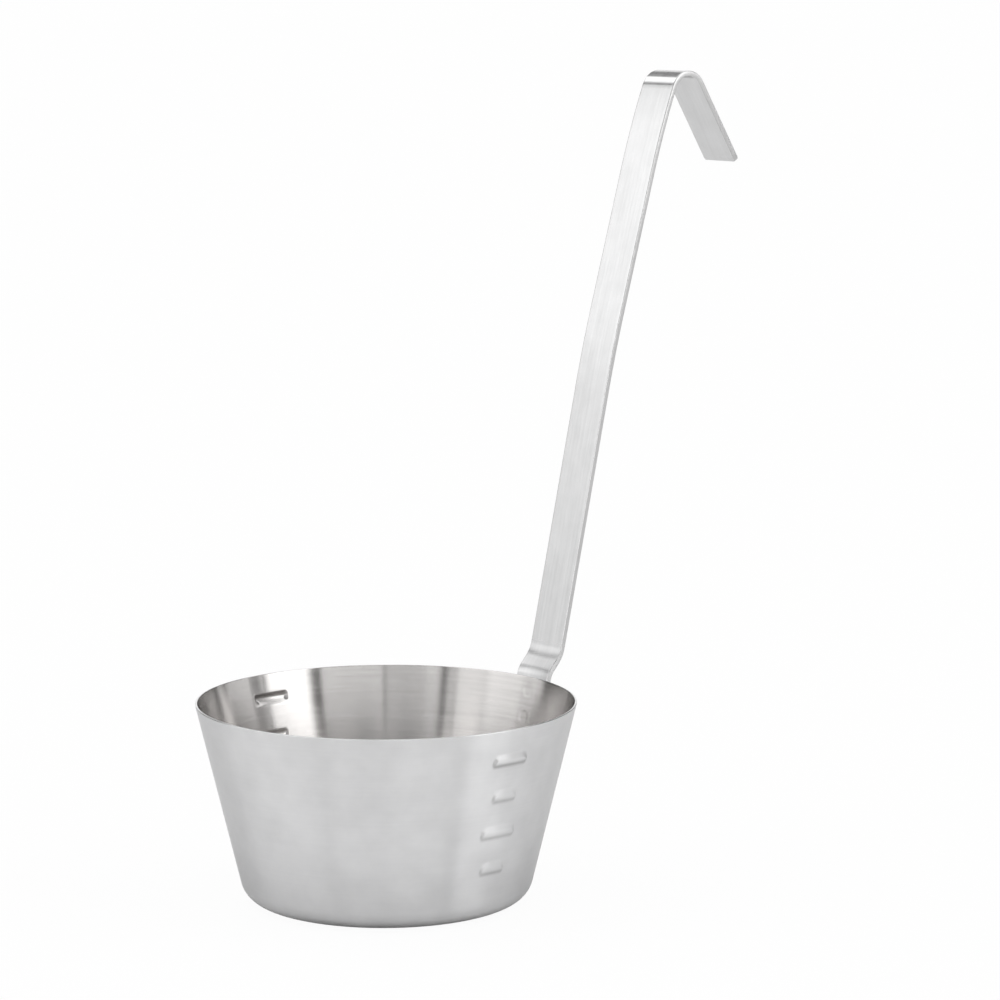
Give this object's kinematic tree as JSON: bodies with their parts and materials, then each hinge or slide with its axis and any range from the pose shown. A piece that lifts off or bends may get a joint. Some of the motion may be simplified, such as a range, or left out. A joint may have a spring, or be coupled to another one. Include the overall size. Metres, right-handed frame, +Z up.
{
  "type": "dipper ladle",
  "caption": "Tapered stainless dipper bowl with pressed graduation marks and a long hooked strap handle welded to its side, for ladling and measuring liquids.",
  "frame": {"origin": "centre of the bowl's flat underside", "axes": "+Z up along the bowl's axis, +X towards the handle"},
  "size_m": [0.2672, 0.158, 0.339],
  "materials": {
    "bowl_steel": "satin outside with faint horizontal lines, brighter polished inside",
    "strap_steel": "satin, brushed lengthwise, with softly rounded edges",
    "weld_steel": "fused, hidden between strap and bowl"
  },
  "bodies": {
    "root": {"bowl": "bowl_steel", "handle": "strap_steel", "spot_weld_1": "weld_steel", "spot_weld_2": "weld_steel", "spot_weld_3": "weld_steel"}
  },
  "joints": []
}
